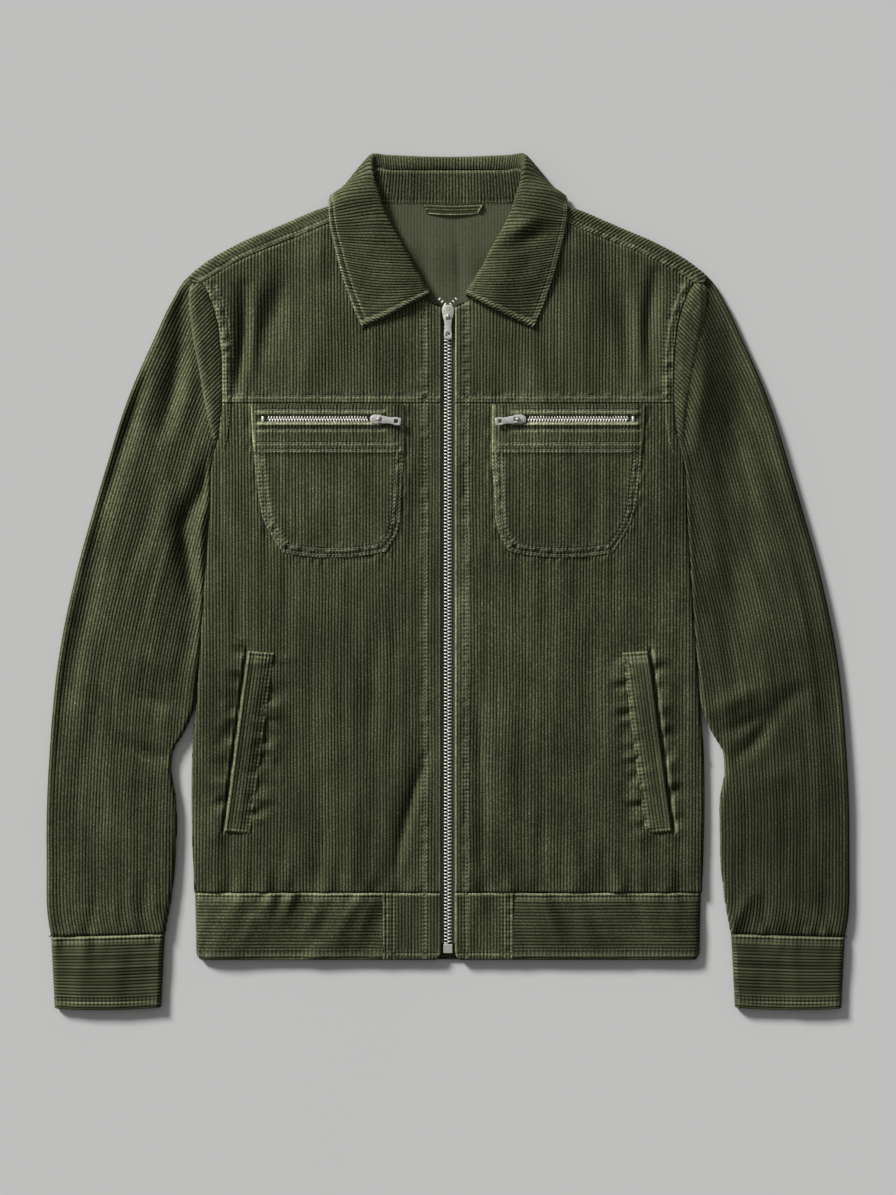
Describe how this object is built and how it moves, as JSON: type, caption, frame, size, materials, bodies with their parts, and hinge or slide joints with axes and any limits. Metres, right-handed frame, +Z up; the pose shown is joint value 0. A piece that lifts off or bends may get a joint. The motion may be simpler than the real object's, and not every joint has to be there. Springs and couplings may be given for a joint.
{
  "type": "corduroy jacket",
  "caption": "Zip-front corduroy jacket laid flat, with a turned-down collar, zipped chest pockets, welt pockets, hem band and cuffs.",
  "frame": {"origin": "middle of the jacket's outline, on the surface that it lies on", "axes": "+Z up from the surface, +Y from the hem to the collar, +X to the right of someone looking down on the front"},
  "size_m": [0.7222, 0.7716, 0.0183],
  "materials": {
    "corduroy": "olive wide-wale cotton corduroy, matt pile with a soft sheen",
    "corduroy_trim": "the same corduroy with its wales turned, doubled",
    "zip_tape": "woven grey-green zip tape",
    "zip_metal": "nickel-plated zip, satin"
  },
  "bodies": {
    "jacket": {"back": "corduroy", "front_upper_left": "corduroy", "front_upper_right": "corduroy", "front_lower_left": "corduroy", "front_lower_right": "corduroy", "sleeve_left": "corduroy", "sleeve_right": "corduroy", "chest_pocket_left": "corduroy", "chest_pocket_right": "corduroy", "collar_stand": "corduroy", "collar_fall": "corduroy", "cuff_left": "corduroy_trim", "cuff_right": "corduroy_trim", "hem_band_back": "corduroy_trim", "hem_band_front_left": "corduroy_trim", "hem_band_front_right": "corduroy_trim", "hem_tab_left": "corduroy_trim", "hem_tab_right": "corduroy_trim", "side_welt_left": "corduroy_trim", "side_welt_right": "corduroy_trim", "hanger_loop": "corduroy_trim", "main_zip_tape_left": "zip_tape", "main_zip_tape_right": "zip_tape", "main_zip_chain": "zip_metal", "main_zip_box": "zip_metal", "chest_zip_left": "zip_metal", "chest_zip_right": "zip_metal", "main_slider": "zip_metal", "chest_slider_left": "zip_metal", "chest_slider_right": "zip_metal"},
    "main_pull": {"main_pull": "zip_metal"},
    "chest_pull_left": {"chest_pull_left": "zip_metal"},
    "chest_pull_right": {"chest_pull_right": "zip_metal"}
  },
  "joints": [
    {"name": "main_pull_hinge", "type": "hinge", "parent": "jacket", "child": "main_pull", "pos_m": [0, 0.2384, 0.01], "axis": [-1, 0, 0], "range_deg": [0, 155]},
    {"name": "chest_pull_left_hinge", "type": "hinge", "parent": "jacket", "child": "chest_pull_left", "pos_m": [-0.0625, 0.1458, 0.0143], "axis": [-0.1219, -0.9925, 0], "range_deg": [0, 155]},
    {"name": "chest_pull_right_hinge", "type": "hinge", "parent": "jacket", "child": "chest_pull_right", "pos_m": [0.0625, 0.1458, 0.0143], "axis": [-0.1219, 0.9925, 0], "range_deg": [0, 155]}
  ]
}
